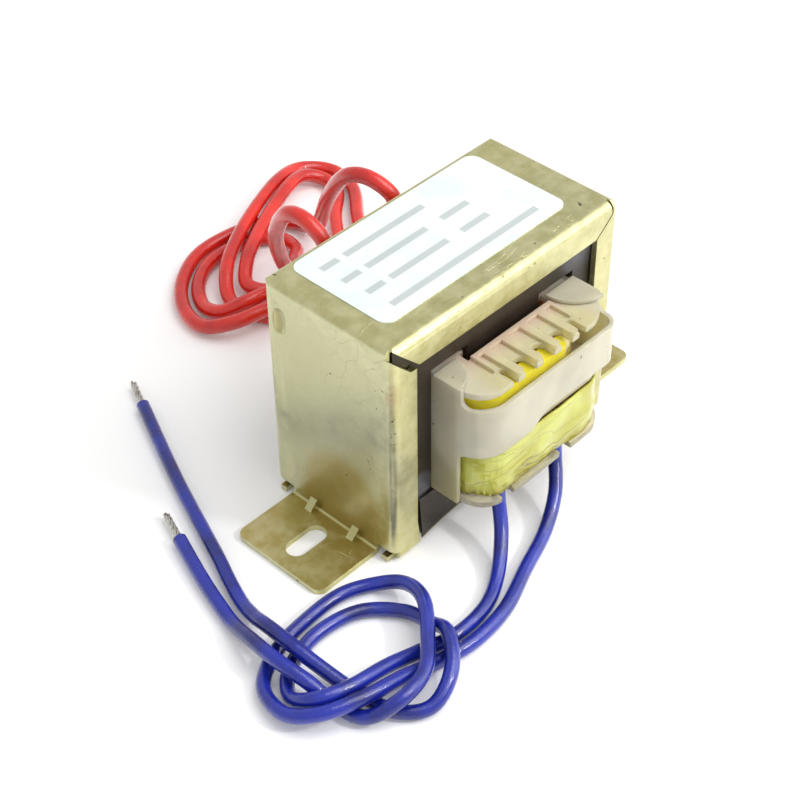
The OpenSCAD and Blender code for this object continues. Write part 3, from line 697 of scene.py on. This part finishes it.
def nylon(name, color, warm, clear):
    """Milky plastic. warm tints the base by what shines through, clear gives the transmission."""
    f = Finish(name, {"Subsurface Weight": 0.45, "Subsurface Radius": (1.0, 0.85, 0.6),
        "Subsurface Scale": 2.2 * MM, "IOR": 1.35, "Coat Weight": 0.3, "Coat Roughness": 0.08})
    mist = f.noise(4.5, 3, 0.55)
    streaks = f.noise(6, 2, 0.5, where=f.stretch(1, 1, 0.35))
    base = f.mix(f.band(mist, 0.35, 0.7), color, shade(color, 0.95))
    base = f.tint(base, NYLON_CLOUD, f.band(streaks, 0.4, 0.75), 0.3)
    base = warm(f, base)
    base = f.tint(base, NYLON_SPECK, f.band(f.noise(0.75, 1, 0.4), 0.765, 0.79), 0.75)
    f.set({"Base Color": base, "Transmission Weight": clear(f),
        "Roughness": f.band(mist, 0.3, 0.7, (0.16, 0.26))})
    f.bump(f.noise(5, 1, 0.4), 0.12, 0.3, after=f.soft_edge(0.2))
    return f


def bobbin_warm(f, base):
    """Copper glows through near the tube and the middle flange, and tape under the combs."""
    height = f.axis("Z")
    deep, wide = f.away("Y"), f.away("X")
    base = f.tint(base, COPPER_GLOW, f.band(deep, *COPPER_Y), f.band(wide, *COPPER_X), 0.65)
    base = f.tint(base, JOINT_GLOW, f.band(height, *ABOVE_JOINT), f.band(height, *BELOW_JOINT), 0.8)
    return f.tint(base, TAPE_GLOW, f.band(deep, *TAPE_Y), f.band(wide, *TAPE_X), 0.4)


def bobbin_clear(f):
    """The lower flange and the free rims of all flanges let most light through."""
    lower = f.band(f.axis("Z"), *CLEAR_Z, to=(0.0, 0.2))
    return f.add(lower, f.band(f.away("Y"), *CLEAR_Y, to=(0.28, 0.48)))


def shroud_warm(f, base):
    """The yellow of the tape shows low down and the brown of the core at the sides."""
    base = f.tint(base, SHROUD_TAPE, f.band(f.axis("Z"), *SHROUD_TAPE_Z), 0.6)
    return f.tint(base, SHROUD_CORE, f.band(f.away("Y"), *SHROUD_CORE_Y), 0.3)


def shroud_clear(f):
    return f.band(f.noise(8, 1), 0.35, 0.65, (0.34, 0.46))


dress(nylon("bobbin_nylon", BOBBIN, bobbin_warm, bobbin_clear), "bobbin")
dress(nylon("shroud_nylon", SHROUD, shroud_warm, shroud_clear), "shroud_front", "shroud_back")
print("nylon dressed")

# %% [markdown]
# ## Windings and tape
# Enamelled copper shows as fine parallel turns. The yellow polyester tape over it is glossy and
# thin: it lies tight on the upper winding and creases over the joints of the lower one.

# %% Windings and tape
COPPER, COPPER_LIGHT = srgb(168, 88, 44), srgb(196, 120, 66)
WIRE_D = 0.3
YELLOW, YELLOW_DEEP, YELLOW_SHADOW = srgb(228, 212, 44), srgb(216, 202, 44), srgb(176, 160, 32)
OLIVE, OLIVE_LIGHT, OLIVE_SHADOW = srgb(176, 173, 50), srgb(194, 197, 86), srgb(116, 90, 30)
FOLD_Z, HEM_Z = (14.5, 11), (14.6, 12.2)
HEM_RAGGED = 3  # how far the noise moves the edge of the darker hem


def copper_finish():
    f = Finish("enamelled_copper", {"Metallic": 0.7, "Roughness": 0.3})
    f.set({"Base Color": f.mix(f.noise(4, 2), COPPER, COPPER_LIGHT)})
    f.bump(f.math("SINE", f.times(f.axis("Z"), math.tau / WIRE_D)), 0.06, 0.6)
    return f


def tape_finish(name, color, other, shadow, creased):
    """Glossy film. creased, 0 to 1, says how much it is folded, mostly at its lower edge."""
    f = Finish(name, {"Roughness": 0.2, "Coat Weight": 0.5, "Coat Roughness": 0.06,
        "Subsurface Weight": 0.12, "Subsurface Radius": (1.0, 0.9, 0.2),
        "Subsurface Scale": 0.8 * MM})
    soft = f.noise(6, 3, 0.5, warp=0.6)
    folds = f.ridge(f.noise(5, 1, 0.5, where=f.stretch(0.5, 0.5, 1.5), warp=0.6), 0.03)
    low = f.band(f.axis("Z"), *FOLD_Z, to=(0.1, 1))
    hem = f.band(f.add(f.axis("Z"), f.times(soft, HEM_RAGGED)), *HEM_Z)
    hem_shade_color = tuple((a + b) / 2 for a, b in zip(color, shadow))
    base = f.mix(f.band(soft, 0.35, 0.65), color, other)
    # Painted shade in the folds low down on the tape, and a lighter painted shade along its ragged
    # lower hem.
    base = f.tint(base, shadow, folds, low, creased)
    base = f.tint(base, hem_shade_color, hem, 0.7 * creased)
    f.set({"Base Color": base})
    waves = f.noise(2.6, 2, 0.5, where=f.stretch(0.3, 0.3, 1.6), warp=0.4)
    f.bump(f.add(f.times(waves, creased), f.times(f.noise(0.9, 2), 0.06),
        f.times(folds, -0.3 * creased)), 0.35, 0.6)
    return f


dress(copper_finish(), "primary_winding", "secondary_winding")
dress(tape_finish("yellow_tape", YELLOW, YELLOW_DEEP, YELLOW_SHADOW, 0.2), "primary_tape")
dress(tape_finish("olive_tape", OLIVE, OLIVE_LIGHT, OLIVE_SHADOW, 0.9), wrap)
print("windings and tape dressed")

# %% [markdown]
# ## Label
# The real label carries print, which is left out. Plain soft bars stand where its four lines
# are, as on a layout that waits for its text.

# %% Label finish
PAPER, PAPER_DULL, BAR_GREY = srgb(222, 231, 228), srgb(214, 226, 222), srgb(128, 134, 136)
LABEL_FACE = (42.35, 42.4)
BAR_H = 1.5
BAR_ENDS, BAR_SIDES = 0.3, 0.25  # width of the soft ends and sides of a bar
# Height of each line on the label, and where its bars start and end
LABEL_BARS = {
    7.6: [(-18.6, -14.8), (-13.8, 3.4)],
    3.3: [(-18.4, -14.6), (-13.6, -0.4), (2.6, 8.8)],
    -1.0: [(-17.8, -14.0), (-13.0, -0.4), (2.4, 8.6)],
    -5.4: [(-17.4, 14.8)],
}


def label_bar(f, start, end, y):
    half = (end - start) / 2
    return f.times(f.band(f.away("X", (start + end) / 2), half, half - BAR_ENDS),
        f.band(f.away("Y", y), BAR_H / 2, BAR_H / 2 - BAR_SIDES))


def label_finish():
    f = Finish("label_paper", {"Roughness": 0.36, "Coat Weight": 0.25})
    bars = f.either(*[label_bar(f, *span, y) for y, spans in LABEL_BARS.items() for span in spans])
    paper = f.mix(f.band(f.noise(6, 2), 0.4, 0.7), PAPER, PAPER_DULL)
    f.set({"Base Color": f.tint(paper, BAR_GREY, bars, f.band(f.axis("Z"), *LABEL_FACE), 0.5)})
    f.bump(f.noise(0.6, 2), 0.01, 0.3)
    return f


dress(label_finish(), "label")
print("label dressed")

# %% [markdown]
# ## Lead insulation and solder
# PVC insulation is glossy and soft, with a faint orange-peel from the extruder. The strands
# and the joints under the tape are tinned, and the tin is dull in patches.

# %% Leads and solder
PVC_COLORS = {
    "red_pvc": (srgb(220, 40, 26), srgb(190, 26, 18)),
    "blue_pvc": (srgb(22, 40, 156), srgb(12, 22, 108)),
}
TIN, TIN_DULL = srgb(206, 204, 198), srgb(168, 160, 146)


def pvc(name, color, deep):
    f = Finish(name, {"Roughness": 0.3, "Specular IOR Level": 0.3, "Subsurface Weight": 0.1,
        "Subsurface Radius": color, "Subsurface Scale": 1 * MM, "Coat Weight": 0.9,
        "Coat Roughness": 0.03})
    base = f.mix(f.band(f.noise(6, 2, 0.5), 0.35, 0.7), color, deep)
    dirt = f.band(f.noise(1.1, 2, 0.6), 0.7, 0.78)
    f.set({"Base Color": f.tint(base, shade(color, 0.35), dirt, 0.35)})
    f.bump(f.add(f.noise(0.6, 3, 0.7), f.noise(3.0, 2, 0.5)), 0.1, 0.7)
    return f


def tin_finish():
    f = Finish("tinned_copper", {"Metallic": 0.9, "Roughness": 0.28})
    f.set({"Base Color": f.mix(f.band(f.noise(0.8, 2), 0.4, 0.7), TIN, TIN_DULL)})
    f.bump(f.noise(0.4, 2), 0.03, 0.5)
    return f


insulation = {name: pvc(name, *colors) for name, colors in PVC_COLORS.items()}
for name, lead in leads.items():
    dress(insulation[pvc_slot(name)], lead)
splices = [name for name in nodes if "splice" in name]
dress(tin_finish(), *splices, *tips.values())
print("leads, tips and", len(splices), "splices dressed")

# %% [markdown]
# ## Studio
# A white bench, a large soft light overhead, a weaker one at the right and a world of white
# walls: metal only looks like metal when it has something large and plain to mirror. A third
# light is small and bright, and draws the glints on the glossy leads. The bench glows a
# little to the camera, so that the backdrop is white but still takes the shadows.

# %% Studio
BENCH_SIZE = 4  # metres
BENCH_WHITE, BENCH_GLOW = 0.9, 0.12
WORLD_LIGHT = 0.72
WHITE = (1, 1, 1, 1)
# Each light: where it is, where it points, its width and its power in watts
LIGHTS = {
    "key": ((120, -160, 420), (0, 0, 20), 340, 1.1),
    "fill": ((300, -260, 160), (0, 0, 20), 220, 0.35),
    "glint": ((120, -330, 300), (-10, -15, 10), 40, 0.65),
}

fresh()
bpy.ops.mesh.primitive_plane_add(size=BENCH_SIZE, location=(0, 0, 0))
bench = bpy.context.object
bench.name = "bench"
f = Finish("bench_white", {"Roughness": 0.9, "Specular IOR Level": 0.1, "Emission Color": WHITE,
    "Base Color": (BENCH_WHITE, BENCH_WHITE, BENCH_WHITE, 1)})
path = f.new("ShaderNodeLightPath").outputs
seen = f.either(path["Is Camera Ray"], path["Is Glossy Ray"], path["Is Transmission Ray"])
f.set({"Emission Strength": f.times(seen, BENCH_GLOW)})
bench.data.materials.append(f.mat)

world = bpy.data.worlds.new("studio")
bpy.context.scene.world = world
world.use_nodes = True
background = world.node_tree.nodes["Background"].inputs
background["Color"].default_value = WHITE
background["Strength"].default_value = WORLD_LIGHT


def softbox(name, at, to, width, power):
    """A square light that points at a place."""
    fresh()
    bpy.ops.object.light_add(type="AREA", location=Vector(at) * MM)
    lamp = bpy.context.object
    lamp.name = name
    lamp.data.size = width * MM
    lamp.data.energy = power
    lamp.rotation_euler = (Vector(to) - Vector(at)).to_track_quat("-Z", "Y").to_euler()


for name, light in LIGHTS.items():
    softbox(name, *light)
bpy.context.scene.view_settings.view_transform = "Standard"
print("studio ready")
